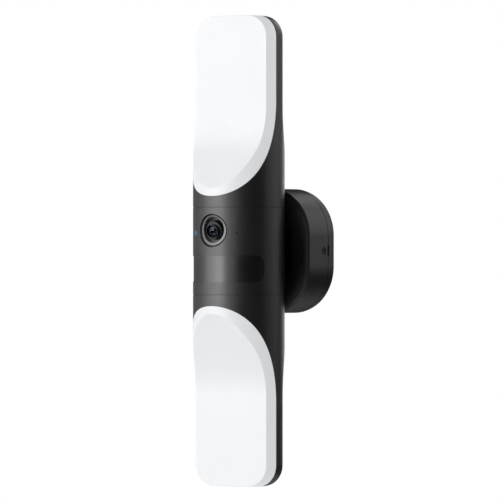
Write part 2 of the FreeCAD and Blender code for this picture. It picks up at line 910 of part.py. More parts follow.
def lens_ring():
    """The trim ring, sunk a little below the housing's face and curved with it."""
    depth = D.bar_radius - D.ring_back
    tube = cylinder("ring_tube", D.ring_radius, depth, (0, bar_y(-D.ring_back), D.lens_z), FORWARD)
    bound_at = (0, bar_y(0), D.lens_z - D.bar_radius)
    bound = cylinder("ring_bound", D.bar_radius - D.ring_sink, 2 * D.bar_radius, bound_at)
    bore_at = (0, bar_y(-D.ring_back + D.wall), D.lens_z + D.ring_bore_lift)
    bore = cylinder("ring_bore", D.ring_bore, D.bar_radius, bore_at, FORWARD)
    piece("lens_ring", cut("lens_ring", common("ring_saddle", tube, bound), bore))


def lens_bowl():
    """The dark cup round the lens, with a flange that backs the ring and closes the housing's hole."""
    front, back = D.bowl_front, D.bowl_back
    z = D.lens_z + D.ring_bore_lift
    cup = cylinder("bowl_cup", D.ring_bore, front - back, (0, bar_y(-back), z), FORWARD)
    flange_at = (0, bar_y(-(D.ring_back - D.flange_thick)), D.lens_z)
    flange = cylinder("bowl_flange", D.flange_radius, D.flange_thick, flange_at, FORWARD)
    outer = fuse("bowl_outer", cup, flange)
    depth = front - back - D.bowl_floor
    inner_at = (0, bar_y(-(back + D.bowl_floor)), z)
    inner = cone("bowl_inner", D.bowl_throat, D.bowl_mouth, depth, inner_at, FORWARD)
    socket = lens_cylinder("bowl_socket", D.socket_radius, D.socket_start, D.socket_end)
    way = lens_cylinder("bowl_way", D.shoulder_radius, -D.wall, D.socket_end + D.wall)
    piece("lens_bowl", cut("lens_bowl", fuse("bowl_whole", cut("bowl_dish", outer, inner), socket), way))


def lens_parts():
    tip = lens_cylinder("barrel_tip", D.tip_radius, 0, D.tip_length)
    shoulder = lens_cylinder("barrel_shoulder", D.shoulder_radius, D.tip_length, D.shoulder_end)
    thread = lens_cylinder("barrel_thread", D.thread_radius, D.shoulder_end, D.thread_end)
    mouth = lens_cylinder("barrel_mouth", D.tip_bore, -D.wall, D.tip_bore_depth)
    bore = lens_cylinder("barrel_bore", D.inner_glass_radius, -D.wall, D.thread_end + D.wall)
    piece("lens_barrel", cut("lens_barrel", fuse("barrel_whole", tip, shoulder, thread), mouth, bore))
    glass = lens_cylinder("glass_blank", D.tip_bore, -D.glass_proud, D.tip_bore_depth)
    dome = new("Part::Sphere", "glass_dome")
    bind(dome, "Radius", D.glass_sphere)
    move(dome, lens_point(D.glass_sphere - D.glass_proud))
    piece("lens_front_glass", common("lens_front_glass", glass, dome))
    end = D.inner_glass_start + D.inner_glass_thick
    element = lens_cylinder("inner_element", D.inner_glass_radius, D.inner_glass_start, end)
    piece("lens_inner_element", element)
    holder = lens_cylinder("holder_tube", D.shoulder_radius, D.shoulder_end, D.holder_end)
    holder_bore = lens_cylinder("holder_bore", D.thread_radius, D.shoulder_end - D.wall, D.thread_end)
    window = lens_cylinder("holder_window", D.aperture, D.thread_end - D.wall, D.holder_end + D.wall)
    piece("lens_holder", cut("lens_holder", holder, holder_bore, window))
    half = D.sensor_board_size / 2
    board = new("Part::Box", "sensor_board")
    chip = new("Part::Box", "image_sensor")
    for obj, size, thick, start in (
        (board, D.sensor_board_size, D.thin_board, D.holder_end + D.thin_board),
        (chip, D.sensor_size, D.sensor_thick, D.holder_end),
    ):
        bind(obj, "Length", size)
        bind(obj, "Width", size)
        bind(obj, "Height", thick)
        turn(obj, *LENS_FORWARD)
        # the box's own corner, half a side left and half a side off the lens axis
        _, y, z = lens_point(start)
        move(obj, (-size / 2, y + size / 2 * sine(D.lens_tilt), z - size / 2 * cosine(D.lens_tilt)))
    piece("sensor_board", board)
    piece("image_sensor", chip)


def small_parts():
    """Status light, microphone, speaker and antenna."""
    pipe_start = D.bar_radius - D.light_depth
    pipe = radial("light_pipe_rod", -D.light_angle, D.light_radius, pipe_start, D.light_depth, D.light_z)
    bound = cylinder("light_bound", D.bar_radius, D.bar_radius, (0, bar_y(0), 0))
    piece("status_light_pipe", common("status_light_pipe", pipe, bound))
    start = pipe_start - D.light_chip
    piece("status_led", radial("status_led", -D.light_angle, D.light_chip, start, D.light_chip, D.light_z))
    piece("microphone", radial("microphone", D.light_angle, D.mic_radius, D.mic_reach - D.mic_length,
                               D.mic_length, D.light_z))
    basket = radial("speaker_basket", D.speaker_angle, D.speaker_radius, D.speaker_front - D.speaker_thick,
                    D.speaker_thick, D.speaker_z)
    magnet = radial("speaker_magnet", D.speaker_angle, D.magnet_radius,
                    D.speaker_front - D.speaker_thick - D.magnet_thick, D.magnet_thick, D.speaker_z)
    piece("speaker", fuse("speaker", basket, magnet))
    radius = D.bar_radius - D.wall
    antenna_at = (0, bar_y(0), -D.antenna_height / 2)
    outer = cylinder("antenna_outer", radius, D.antenna_height, antenna_at)
    inner = cylinder("antenna_inner", radius - D.antenna_thick, D.antenna_height, antenna_at)
    for obj in (outer, inner):
        bind(obj, "Angle", D.antenna_angle)
        turn(obj, (0, 0, 1), 180 - D.antenna_angle / 2)
    piece("wifi_antenna", cut("wifi_antenna", outer, inner))


def chassis():
    back = D.chassis_y + D.chassis_thick
    plate = slab("chassis_plate", 2 * D.chassis_half_width, 2 * D.chassis_half_height, D.chassis_thick,
                 D.front_post_radius, (0, bar_y(back), 0))
    rear_length = D.bar_back - D.wall - back
    rear = [
        cylinder(f"rear_post_{i}", D.rear_post_radius, rear_length, (x, bar_y(back), z), BACKWARD)
        for i, (x, z) in enumerate(four(D.rear_post_x, D.rear_post_z))
    ]
    front_length = D.chassis_y + D.board_y
    front_places = [
        (x, z) for x in (-D.front_post_left, D.front_post_right) for z in (-D.front_post_z, D.front_post_z)
    ]
    front = [
        cylinder(f"front_post_{i}", D.front_post_radius, front_length, (x, bar_y(D.chassis_y), z), FORWARD)
        for i, (x, z) in enumerate(front_places)
    ]
    sink = D.bar_back - D.screw_head_thick
    cover_ways = [
        cylinder(f"cover_post_way_{i}", D.screw_shank, D.screw_length, (x, bar_y(sink), z), FORWARD)
        for i, (x, z) in enumerate(four(D.rear_post_x, D.rear_post_z))
    ]
    tongue_ways = [
        cylinder(f"tongue_plate_way_{i}", D.screw_shank, D.screw_length,
                 (x, bar_y(back + D.tongue_flange_thick), z), FORWARD)
        for i, (x, z) in enumerate(four(D.tongue_screw_x, D.tongue_screw_z))
    ]
    front_y = bar_y(-(D.board_y + D.board_thick))
    board_ways = [
        cylinder(f"board_post_way_{i}", D.screw_shank, D.screw_length, (x, front_y, z), BACKWARD)
        for i, (x, z) in enumerate(front_places)
    ]
    body = fuse("chassis_whole", plate, *rear, *front)
    piece("chassis_frame", cut("chassis_frame", body, *cover_ways, *tongue_ways, *board_ways))

    width = D.board_left + D.board_right
    board = slab("main_board_body", width, 2 * D.board_half_height, D.board_thick, D.front_post_radius,
                 ((D.board_right - D.board_left) / 2, bar_y(-D.board_y), 0))
    piece("main_board", cut("main_board", board, *board_ways))
    board_screws = [
        screw(f"board_screw_{i}", (x, front_y, z), FORWARD, length=D.screw_length - D.wall)
        for i, (x, z) in enumerate(front_places)
    ]
    tongue_screws = [
        screw(f"tongue_screw_{i}", (x, bar_y(back + D.tongue_flange_thick), z), BACKWARD,
              length=D.tongue_flange_thick + D.chassis_thick)
        for i, (x, z) in enumerate(four(D.tongue_screw_x, D.tongue_screw_z))
    ]
    piece("chassis_screws", group("chassis_screws", *board_screws, *tongue_screws))
    chip_cans()


def chip_cans():
    """Shielded chips on both sides of the main board, and the motion sensor board's connector."""

    def can(name, x, z, width, height, depths):
        back_low, back_high = depths
        low = (x - width / 2, bar_y(back_low), z - height / 2)
        return box(name, low, (x + width / 2, bar_y(back_high), z + height / 2))

    front, back = -(D.board_y + D.board_thick), -D.board_y
    fore, aft = (front - D.can_thick, front), (back, back + D.can_thick)
    piece("board_components", group(
        "board_components",
        can("radio_can", D.radio_x, D.radio_z, D.radio_width, D.radio_height, fore),
        can("processor_can", D.processor_x, D.processor_z, D.processor_width, D.processor_height, aft),
        can("memory_can", D.radio_x, D.memory_z, D.radio_width, D.memory_height, aft),
        can("motion_link", NOTHING, D.pir_top - D.pir_height / 2, D.link_width, D.link_height,
            (-D.pir_board_y, front)),
    ))


def rear_cover():
    half_w = D.cover_half_width - D.cover_gap
    half_h = D.cover_half_height - D.cover_gap
    low = (-half_w, bar_y(D.bar_back - D.wall), -half_h)
    plate = box("rear_plate", low, (half_w, bar_y(D.bar_back), half_h))
    window = box(
        "neck_way",
        (-D.neck_window, bar_y(D.bar_back - 2 * D.wall), -D.neck_window_half),
        (D.neck_window, bar_y(D.bar_back + D.wall), D.neck_window_half),
    )
    sink = D.bar_back - D.screw_head_thick
    places = four(D.rear_post_x, D.rear_post_z)
    head, shank = D.screw_head + D.screw_clear, D.screw_shank + D.screw_clear
    ways = []
    for i, (x, z) in enumerate(places):
        ways.append(cylinder(f"cover_sink_{i}", head, 2 * D.wall, (x, bar_y(sink), z), BACKWARD))
        ways.append(cylinder(f"cover_way_{i}", shank, 3 * D.wall, (x, bar_y(sink - D.wall), z), BACKWARD))
    piece("rear_cover", cut("rear_cover", plate, window, *ways))
    screws("rear_cover_screws", [(x, bar_y(sink), z) for x, z in places], BACKWARD,
           length=D.screw_length - D.wall)


def module_joints():
    """The seals in both seams, and the screws that hold the lamps to the camera module."""
    keep = box(
        "seal_keep",
        (-D.reach / 2, bar_y(-D.reach / 2), -D.module_half - D.wall),
        (D.reach / 2, bar_y(D.bar_back - D.seam_depth), D.module_half + D.wall),
    )
    rings = []
    for i, side in enumerate((-1, 1)):
        z = side * D.module_half - D.seam_half
        outer = cylinder(f"seal_outer_{i}", D.bar_radius - D.seam_depth, 2 * D.seam_half, (0, bar_y(0), z))
        inner_radius = D.bar_radius - D.wall + D.screw_clear
        inner = cylinder(f"seal_inner_{i}", inner_radius, 2 * D.seam_half, (0, bar_y(0), z))
        inner_keep = box(
            f"seal_inner_keep_{i}",
            (-D.reach / 2, bar_y(-D.reach / 2), z - D.wall),
            (D.reach / 2, bar_y(D.bar_back - D.wall + D.screw_clear), z + D.wall),
        )
        rings.append(cut(f"seal_ring_{i}", common(f"seal_disc_{i}", outer, keep),
                         common(f"seal_hole_{i}", inner, inner_keep)))
    piece("module_seals", group("module_seals", *rings))
    top = D.module_half + D.seam_half + D.floor
    places = []
    for angle in (D.boss_front, D.boss_back):
        for side in (-1, 1):
            places.append((side * D.boss_ring * sine(angle), bar_y(-(D.boss_ring * cosine(angle)))))
    upper = [screw(f"module_screw_up_{i}", (x, y, top), UP) for i, (x, y) in enumerate(places)]
    lower = [screw(f"module_screw_down_{i}", (x, y, -top), DOWN) for i, (x, y) in enumerate(places)]
    piece("module_screws", group("module_screws", *upper, *lower))
    length = D.harness_end - D.harness_start
    leads = [
        cylinder(f"lead_{i}", D.harness_radius, length, (D.harness_x, bar_y(0), z), UP)
        for i, z in enumerate((D.harness_start, -D.harness_end))
    ]
    piece("lamp_harness", group("lamp_harness", *leads))


def sync_button():
    y0 = D.button_base
    shaft_length = D.bar_back + D.button_proud - y0
    base = (0, bar_y(y0), D.button_z)
    cap = cylinder("button_cap", D.button_radius, shaft_length, base, BACKWARD)
    flange = cylinder("button_flange", D.button_flange, D.button_flange_thick, base, BACKWARD)
    piece("sync_button", fuse("sync_button", cap, flange))
    seal_front = D.bar_back - D.wall - D.button_seal_thick
    outer = cylinder("button_seal_outer", D.button_seal_radius, D.button_seal_thick,
                     (0, bar_y(seal_front), D.button_z), BACKWARD)
    inner = cylinder("button_seal_inner", D.button_seal_bore, 3 * D.button_seal_thick,
                     (0, bar_y(seal_front - D.button_seal_thick), D.button_z), BACKWARD)
    piece("button_seal", cut("button_seal", outer, inner))
    back = D.button_board_y + D.thin_board
    board = slab("button_board", 2 * D.button_board_half, 2 * D.button_board_half_height, D.thin_board,
                 D.plunger_radius, (0, bar_y(back), D.button_z))
    half = D.switch_size / 2
    body = box("switch_body", (-half, bar_y(back), D.button_z - half),
               (half, bar_y(back + D.switch_thick), D.button_z + half))
    plunger = cylinder("switch_plunger", D.plunger_radius, D.switch_thick + D.plunger_thick,
                       (0, bar_y(back), D.button_z), BACKWARD)
    piece("button_board", board)
    piece("tact_switch", fuse("tact_switch", body, plunger))


# ---------------------------------------------------------------- wall mount


def mount_slab(name, inset, back, front):
    """The mount's rounded square, drawn in by inset, from back to front, both measured from the wall."""
    return slab(name, D.mount_width - 2 * inset, D.mount_height - 2 * inset, sized(front) - back,
                D.mount_round - inset, (0, -sized(back), 0))


def wall_plates():
    """The bracket that is screwed to the wall box, and the gasket round it."""
    bracket = slab("bracket_body", 2 * D.bracket_half, D.bracket_height, D.gasket_thick, D.lead_hole / 2,
                   (0, 0, 0))
    straight = (D.bracket_slot_length - D.bracket_slot_width) / 2
    half = D.bracket_slot_width / 2
    slots = []
    for i, side in enumerate((-1, 1)):
        middle = side * D.bracket_slot
        low = (middle - straight, -2 * D.gasket_thick, -half)
        slots.append(box(f"slot_middle_{i}", low, (middle + straight, D.gasket_thick, half)))
        for end in (-1, 1):
            at = (middle + end * straight, D.gasket_thick, 0)
            slots.append(cylinder(f"slot_end_{i}_{end + 1}", half, 3 * D.gasket_thick, at, FORWARD))
    lead_way = cylinder("bracket_lead_way", D.lead_hole, 3 * D.gasket_thick, (0, D.gasket_thick, 0), FORWARD)
    piece("wall_bracket", cut("wall_bracket", bracket, lead_way, *slots))
    outer = mount_slab("gasket_outer", D.gasket_inset, 0, D.gasket_thick)
    inner = mount_slab("gasket_inner", D.gasket_inset + D.gasket_width, -D.gasket_thick, 2 * D.gasket_thick)
    piece("mount_gasket", cut("mount_gasket", outer, inner))


def mount_holes():
    return four(D.mount_boss_x, D.mount_boss_z)


def driver_places():
    sides = (-D.driver_screw_x, D.driver_screw_x)
    return [(x, z) for x in sides for z in (D.driver_screw_low, D.driver_screw_high)]


def mount_base():
    floor = D.gasket_thick + D.base_floor
    shell = mount_slab("base_shell", NOTHING, D.gasket_thick, D.mount_seam)
    dress(shell, "Chamfer", "Size", D.seam_bevel, on_plane_y((D.gasket_thick - D.mount_seam).value))
    tray = mount_slab("base_tray", D.mount_wall, floor, D.mount_front)
    pegs = [
        cylinder(f"driver_peg_{i}", D.screw_head, D.driver_y - floor, (x, -floor, z), FORWARD)
        for i, (x, z) in enumerate(driver_places())
    ]
    sinks = [
        cylinder(f"base_sink_{i}", D.screw_head + D.screw_clear, D.screw_head_thick + D.wall,
                 (x, D.wall - D.gasket_thick, z), FORWARD)
        for i, (x, z) in enumerate(mount_holes())
    ]
    ways = [
        cylinder(f"base_way_{i}", D.screw_shank + D.screw_clear, D.mount_front, (x, 0, z), FORWARD)
        for i, (x, z) in enumerate(mount_holes())
    ]
    driver_ways = [
        cylinder(f"peg_way_{i}", D.screw_shank, D.screw_length, (x, -D.gasket_thick - D.lip, z), FORWARD)
        for i, (x, z) in enumerate(driver_places())
    ]
    lead_way = cylinder("base_lead_way", D.lead_hole, D.mount_front, (0, 0, 0), FORWARD)
    whole = fuse("base_whole", cut("base_hollow", shell, tray), *pegs)
    piece("mount_base", cut("mount_base", whole, *sinks, *ways, *driver_ways, lead_way, notch()))


def notch():
    """The pry slot on the seam, on the right-hand side."""
    half = D.notch_height / 2
    low = (D.mount_width / 2 - D.notch_depth, -(D.mount_seam + D.notch_width / 2), -half)
    high = (D.mount_width / 2 + D.notch_depth, -(D.mount_seam - D.notch_width / 2), half)
    return box("notch", low, high)


def mount_shroud():
    shell = mount_slab("shroud_shell", NOTHING, D.mount_seam, D.mount_front)
    dress(shell, "Chamfer", "Size", D.seam_bevel, on_plane_y(0))
    front_y = (D.mount_seam - D.mount_front).value
    dress(shell, "Chamfer", "Size", D.rim_bevel, on_plane_y(front_y))
    dish_bottom = D.mount_front - D.dish_depth
    dish = mount_slab("shroud_dish", -D.dish_overhang, dish_bottom, D.mount_front + D.dish_arc)
    dress(dish, "Fillet", "Radius", D.dish_arc, on_plane_y(0))
    pocket = mount_slab("shroud_pocket", D.pocket_inset, D.pocket_front, D.mount_front)
    dress(pocket, "Fillet", "Radius", D.pocket_round, on_plane_y(0))
    room = mount_slab("shroud_room", D.mount_wall, 0, dish_bottom - D.mount_wall)
    pocket_wall = mount_slab("pocket_wall", D.pocket_inset - D.mount_wall, D.pocket_back, D.mount_front)
    chamber = cut("shroud_chamber", room, pocket_wall)
    floor = D.gasket_thick + D.base_floor
    post_length = dish_bottom - D.mount_wall - floor + D.lip
    places = [(x, -(D.gasket_thick + D.screw_head_thick), z) for x, z in mount_holes()]
    posts = [
        cylinder(f"shroud_boss_{i}", D.mount_boss_radius, post_length, (x, -floor, z), FORWARD)
        for i, (x, z) in enumerate(mount_holes())
    ]
    ways = [
        cylinder(f"shroud_way_{i}", D.screw_shank, D.screw_length, at, FORWARD)
        for i, at in enumerate(places)
    ]
    clevis_ways = [
        cylinder(f"shroud_clevis_way_{i}", D.screw_shank, D.screw_length,
                 (x, -(D.pocket_front + D.clevis_plate), z), BACKWARD)
        for i, (x, z) in enumerate(four(D.clevis_screw_x, D.clevis_screw_z))
    ]
    lock_at = (D.mount_width / 2 - D.lock_recess_depth, -D.lock_y, 0)
    shank_at = (lock_at[0] - D.lock_length, -D.lock_y, 0)
    recess = cylinder("lock_recess", D.lock_recess, 2 * D.lock_recess_depth, lock_at, RIGHT)
    lock_way = cylinder("lock_way", D.lock_shank, D.lock_length, shank_at, RIGHT)
    whole = fuse("shroud_whole", cut("shroud_hollow", shell, dish, pocket, chamber), *posts)
    piece("mount_shroud", cut("mount_shroud", whole, *ways, *clevis_ways, recess, lock_way, notch()))
    screws("shroud_screws", places, BACKWARD)
    head = cylinder("lock_head", D.lock_head, D.lock_head_thick, lock_at, RIGHT)
    shank = cylinder("lock_rod", D.lock_shank, D.lock_length, shank_at, RIGHT)
    drive = new("Part::Prism", "lock_drive")
    bind(drive, "Circumradius", D.drive_size)
    bind(drive, "Height", D.drive_depth)
    move(aim(drive, RIGHT), (lock_at[0] + D.lock_head_thick - D.drive_depth, -D.lock_y, 0))
    piece("side_lock_screw", cut("side_lock_screw", fuse("lock_whole", head, shank), drive))


def mount_electronics():
    """The supply's way in, and the driver that feeds the lamps."""
    floor = D.gasket_thick + D.base_floor
    rim_length = D.base_floor + D.grommet_proud
    rim = cylinder("grommet_outer", D.lead_hole, rim_length, (0, -D.gasket_thick, 0), FORWARD)
    bore = cylinder("grommet_inner", D.grommet_bore, D.mount_seam * 2, (0, 0, 0), FORWARD)
    piece("cable_grommet", cut("cable_grommet", rim, bore))
    low = (-D.terminal_half, -(floor + D.terminal_depth), D.terminal_bottom)
    high = (D.terminal_half, -floor, D.terminal_bottom + D.terminal_height)
    block = box("terminal_body", low, high)
    ports = []
    for i in range(3):
        x = (i - 1) * (D.terminal_half * 2 / 3)
        at = (x, -(floor + D.terminal_depth / 2), D.terminal_bottom + D.terminal_height / 2)
        ports.append(cylinder(f"terminal_port_{i}", D.pin_radius, D.terminal_height, at))
    piece("terminal_block", cut("terminal_block", block, *ports))
    middle = D.driver_bottom + D.driver_height / 2
    board = slab("driver_board_body", 2 * D.driver_half, D.driver_height, D.board_thick, D.front_post_radius,
                 (0, -D.driver_y, middle))
    ways = [
        cylinder(f"driver_way_{i}", D.screw_shank, D.screw_length, (x, -D.gasket_thick - D.lip, z), FORWARD)
        for i, (x, z) in enumerate(driver_places())
    ]
    piece("driver_board", cut("driver_board", board, *ways))
    front = D.driver_y + D.board_thick
    screws("driver_screws", [(x, -front, z) for x, z in driver_places()], FORWARD,
           length=D.board_thick + D.board_thick + D.base_floor / 2)
    half = D.transformer_width / 2
    piece("driver_transformer", box(
        "driver_transformer",
        (-half, -(front + D.transformer_depth), D.driver_bottom + D.lip),
        (half, -front, D.driver_bottom + D.lip + D.transformer_height),
    ))
    cans = [
        cylinder(f"capacitor_{i}", D.capacitor_radius, D.capacitor_length,
                 (side * D.capacitor_x, -front, middle), FORWARD)
        for i, side in enumerate((-1, 1))
    ]
    piece("driver_capacitors", group("driver_capacitors", *cans))
    ring = new("Part::Torus", "driver_choke")
    bind(ring, "Radius1", D.choke_ring)
    bind(ring, "Radius2", D.choke_wire)
    turn(ring, *FORWARD)
    choke_z = D.driver_bottom + D.driver_height - D.choke_ring - 2 * D.choke_wire
    move(ring, (0, -(front + D.choke_wire), choke_z))
    piece("driver_choke", ring)


def swivel():
    """Clevis on the mount, tongue on the bar, and the upright pin that joins them."""
    plate_front = D.pocket_front + D.clevis_plate
    plate = slab("clevis_plate", 2 * D.clevis_half_width, 2 * D.clevis_half_height, D.clevis_plate,
                 D.pin_radius, (0, -D.pocket_front, 0))
    ears = []
    for i, low in enumerate((D.ear_inner, -(D.ear_inner + D.ear_thick))):
        ears.append(box(f"ear_arm_{i}", (-D.ear_radius, -D.pivot_y, low),
                        (D.ear_radius, -D.pocket_front, low + D.ear_thick)))
        ears.append(cylinder(f"ear_end_{i}", D.ear_radius, D.ear_thick, (0, -D.pivot_y, low)))
    pin_way = cylinder("ear_pin_way", D.pin_radius, 6 * D.ear_inner, (0, -D.pivot_y, -3 * D.ear_inner))
    places = four(D.clevis_screw_x, D.clevis_screw_z)
    ways = [
        cylinder(f"clevis_way_{i}", D.screw_shank, 2 * D.clevis_plate, (x, -plate_front - D.lip, z), BACKWARD)
        for i, (x, z) in enumerate(places)
    ]
    piece("pivot_clevis", cut("pivot_clevis", fuse("clevis_whole", plate, *ears), pin_way, *ways))
    screws("clevis_screws", [(x, -plate_front, z) for x, z in places], FORWARD)

    outer = D.ear_inner + D.ear_thick
    reach = outer + D.nut_thick + D.lip
    rod = cylinder("pin_rod", D.pin_radius, outer + reach, (0, -D.pivot_y, -reach))
    head = cylinder("pin_head", D.pin_head_radius, D.pin_head_thick, (0, -D.pivot_y, outer))
    piece("pivot_pin", fuse("pivot_pin", rod, head))
    nut = new("Part::Prism", "nut_body")
    bind(nut, "Circumradius", D.nut_size)
    bind(nut, "Height", D.nut_thick)
    move(nut, (0, -D.pivot_y, -(outer + D.nut_thick)))
    piece("pivot_nut", cut("pivot_nut", nut, pin_way))
    washers = []
    for i, low in enumerate((D.ear_inner - D.washer_thick, -D.ear_inner)):
        disc = cylinder(f"washer_disc_{i}", D.washer_radius, D.washer_thick, (0, -D.pivot_y, low))
        hole = cylinder(f"washer_hole_{i}", D.washer_bore, 3 * D.washer_thick,
                        (0, -D.pivot_y, low - D.washer_thick))
        washers.append(cut(f"washer_{i}", disc, hole))
    piece("friction_washers", group("friction_washers", *washers))

    back = D.chassis_y + D.chassis_thick
    flange = slab("tongue_flange", 2 * D.tongue_flange_half, 2 * D.tongue_flange_half_height,
                  D.tongue_flange_thick, D.pin_radius, (0, bar_y(back + D.tongue_flange_thick), 0))
    neck = box("tongue_neck", (-D.tongue_radius, bar_y(back + D.lip), -D.tongue_half),
               (D.tongue_radius, -D.pivot_y, D.tongue_half))
    end = cylinder("tongue_end", D.tongue_radius, 2 * D.tongue_half, (0, -D.pivot_y, -D.tongue_half))
    bore = cylinder("tongue_bore", D.pin_radius + D.pin_clear, 4 * D.tongue_half,
                    (0, -D.pivot_y, -2 * D.tongue_half))
    places = four(D.tongue_screw_x, D.tongue_screw_z)
    flange_ways = [
        cylinder(f"tongue_way_{i}", D.screw_shank, 3 * D.tongue_flange_thick,
                 (x, bar_y(back - D.tongue_flange_thick), z), BACKWARD)
        for i, (x, z) in enumerate(places)
    ]
    piece("hinge_tongue", cut("hinge_tongue", fuse("tongue_whole", flange, neck, end), bore, *flange_ways))


def check_and_write():
    doc.recompute()
    bad = [o.Name for o in doc.Objects if "Invalid" in o.State or "Error" in o.State]
    if bad:
        raise RuntimeError(f"these objects failed: {bad}")
    os.makedirs("parts", exist_ok=True)
    for obj in pieces:
        shape = obj.Shape
        if shape.isNull() or not shape.isValid() or not shape.Solids:
            raise RuntimeError(f"{obj.Label} has no valid solid")
    for obj in pieces:
        obj.Shape.exportStep(f"parts/{obj.Label}.step")
        size = obj.Shape.BoundBox
        print(f"{obj.Label:24s} solids {len(obj.Shape.Solids):2d} volume {obj.Shape.Volume:10.1f}"
              f"  {size.XLength:6.1f} {size.YLength:6.1f} {size.ZLength:6.1f}")
    print(len(pieces), "pieces")


wall_plates()
mount_base()
mount_shroud()
mount_electronics()
swivel()
lamps()
camera_housing()
motion_sensor()
lens_ring()
lens_bowl()
lens_parts()
small_parts()
chassis()
rear_cover()
module_joints()
sync_button()
check_and_write()
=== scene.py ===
"""The looks of a floodlight security camera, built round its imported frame. Metres, the frame's axes."""
import json
import math

import bmesh
import bpy
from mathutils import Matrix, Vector

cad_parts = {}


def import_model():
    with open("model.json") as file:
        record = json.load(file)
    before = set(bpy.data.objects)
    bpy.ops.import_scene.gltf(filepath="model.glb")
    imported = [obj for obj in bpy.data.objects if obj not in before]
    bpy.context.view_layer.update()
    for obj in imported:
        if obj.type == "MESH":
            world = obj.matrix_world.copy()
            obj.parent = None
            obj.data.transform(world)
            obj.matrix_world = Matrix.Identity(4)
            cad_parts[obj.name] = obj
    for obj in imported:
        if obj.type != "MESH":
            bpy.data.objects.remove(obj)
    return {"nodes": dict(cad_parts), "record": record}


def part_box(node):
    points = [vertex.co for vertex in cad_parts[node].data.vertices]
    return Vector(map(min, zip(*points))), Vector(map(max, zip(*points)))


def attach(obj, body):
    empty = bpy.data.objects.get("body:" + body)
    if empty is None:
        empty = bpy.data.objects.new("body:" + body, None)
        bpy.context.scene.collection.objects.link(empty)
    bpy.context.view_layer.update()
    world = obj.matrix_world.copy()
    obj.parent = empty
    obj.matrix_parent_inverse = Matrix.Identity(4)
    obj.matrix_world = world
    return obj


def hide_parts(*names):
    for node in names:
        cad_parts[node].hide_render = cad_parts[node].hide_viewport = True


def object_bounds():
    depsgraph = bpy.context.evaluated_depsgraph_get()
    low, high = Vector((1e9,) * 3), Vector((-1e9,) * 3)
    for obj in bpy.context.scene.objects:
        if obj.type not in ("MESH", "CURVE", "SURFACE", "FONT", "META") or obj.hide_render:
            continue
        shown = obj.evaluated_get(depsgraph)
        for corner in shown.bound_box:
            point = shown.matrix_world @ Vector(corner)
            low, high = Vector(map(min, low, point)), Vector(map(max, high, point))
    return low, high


MM = 0.001
CAD_SHARP = math.radians(28)  # edges bent by more than this are sharp, on the CAD nodes
OWN_SHARP = math.radians(40)  # and on the pieces made here
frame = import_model()
cad_low, cad_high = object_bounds()
nodes = frame["nodes"]


# ------------------------------------------------------------------ where things are

def middle(node):
    low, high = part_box(node)
    return (low + high) / 2


def size(node):
    low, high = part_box(node)
    return high - low


BAR_RADIUS = size("camera_housing").x / 2
BAR_AXIS = Vector((0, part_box("camera_housing")[0].y + BAR_RADIUS, 0))

LENS_TILT = math.radians(15)  # the lens looks this far down
LENS_WAY = Vector((0, -math.cos(LENS_TILT), -math.sin(LENS_TILT)))
INNER_GLASS_DEPTH = 4.0 * MM  # from the barrel's rim to the middle of the inner element
LENS_TIP = middle("lens_inner_element") + LENS_WAY * INNER_GLASS_DEPTH
RING_BORE = 11.0 * MM
RING_BORE_LIFT = 0.45 * MM  # the bore's centre is this far above the ring's


# ------------------------------------------------------------------ materials

class Shader:
    """A material with a Principled shader, and short ways to add nodes to it.

    Sockets are given as keywords, with _ for each space in the name.
    """

    def __init__(self, name):
        self.material = bpy.data.materials.new(name)
        self.material.use_nodes = True
        self.tree = self.material.node_tree
        self.bsdf = next(n for n in self.tree.nodes if n.type == "BSDF_PRINCIPLED")
        self.coordinates = self.node("ShaderNodeTexCoord").outputs["Object"]

    def node(self, kind, **inputs):
        made = self.tree.nodes.new(kind)
        for key, value in inputs.items():
            made.inputs[key.replace("_", " ")].default_value = value
        return made

    def link(self, source, target):
        self.tree.links.new(source, target)

    def set(self, **inputs):
        for key, value in inputs.items():
            self.bsdf.inputs[key.replace("_", " ")].default_value = value
        return self

    def noise(self, scale, detail=2.0, roughness=0.5):
        made = self.node("ShaderNodeTexNoise", Scale=scale, Detail=detail, Roughness=roughness)
        self.link(self.coordinates, made.inputs["Vector"])
        return made.outputs["Fac"]

    def remap(self, source, low, high):
        """Spreads a noise, which seldom leaves 0.3 to 0.7, over low to high."""
        made = self.node("ShaderNodeMapRange", From_Min=0.3, From_Max=0.7, To_Min=low, To_Max=high)
        self.link(source, made.inputs["Value"])
        return made.outputs["Result"]

    def blend(self, factor, first, second):
        made = self.node("ShaderNodeMix")
        made.data_type = "RGBA"
        self.link(factor, made.inputs["Factor"])
        for socket, colour in zip([s for s in made.inputs if s.type == "RGBA"], (first, second)):
            if isinstance(colour, bpy.types.NodeSocket):
                self.link(colour, socket)
            else:
                socket.default_value = (*colour, 1)
        return next(s for s in made.outputs if s.type == "RGBA")

    def bump(self, source, strength, distance, under=None):
        made = self.node("ShaderNodeBump", Strength=strength, Distance=distance)
        self.link(source, made.inputs["Height"])
        if under is not None:
            self.link(under, made.inputs["Normal"])
        return made.outputs["Normal"]

    def colour(self, source):
        self.link(source, self.bsdf.inputs["Base Color"])

    def roughness(self, source):
        self.link(source, self.bsdf.inputs["Roughness"])

    def normal(self, source):
        self.link(source, self.bsdf.inputs["Normal"])


def moulded(name, dark, light, rough_low, rough_high, grain=0.25, grain_size=0.35 * MM, **inputs):
    """Moulded plastic: fine spark-eroded grain, faint large-scale change of tone and gloss."""
    made = Shader(name).set(**inputs)
    made.colour(made.blend(made.remap(made.noise(28), 0, 1), dark, light))
    made.roughness(made.remap(made.noise(90, 4), rough_low, rough_high))
    fine = made.bump(made.noise(1 / grain_size, 3, 0.6), grain, 0.03 * MM)
    made.normal(made.bump(made.noise(60, 1), 0.04, 0.4 * MM, fine))
    return made.material


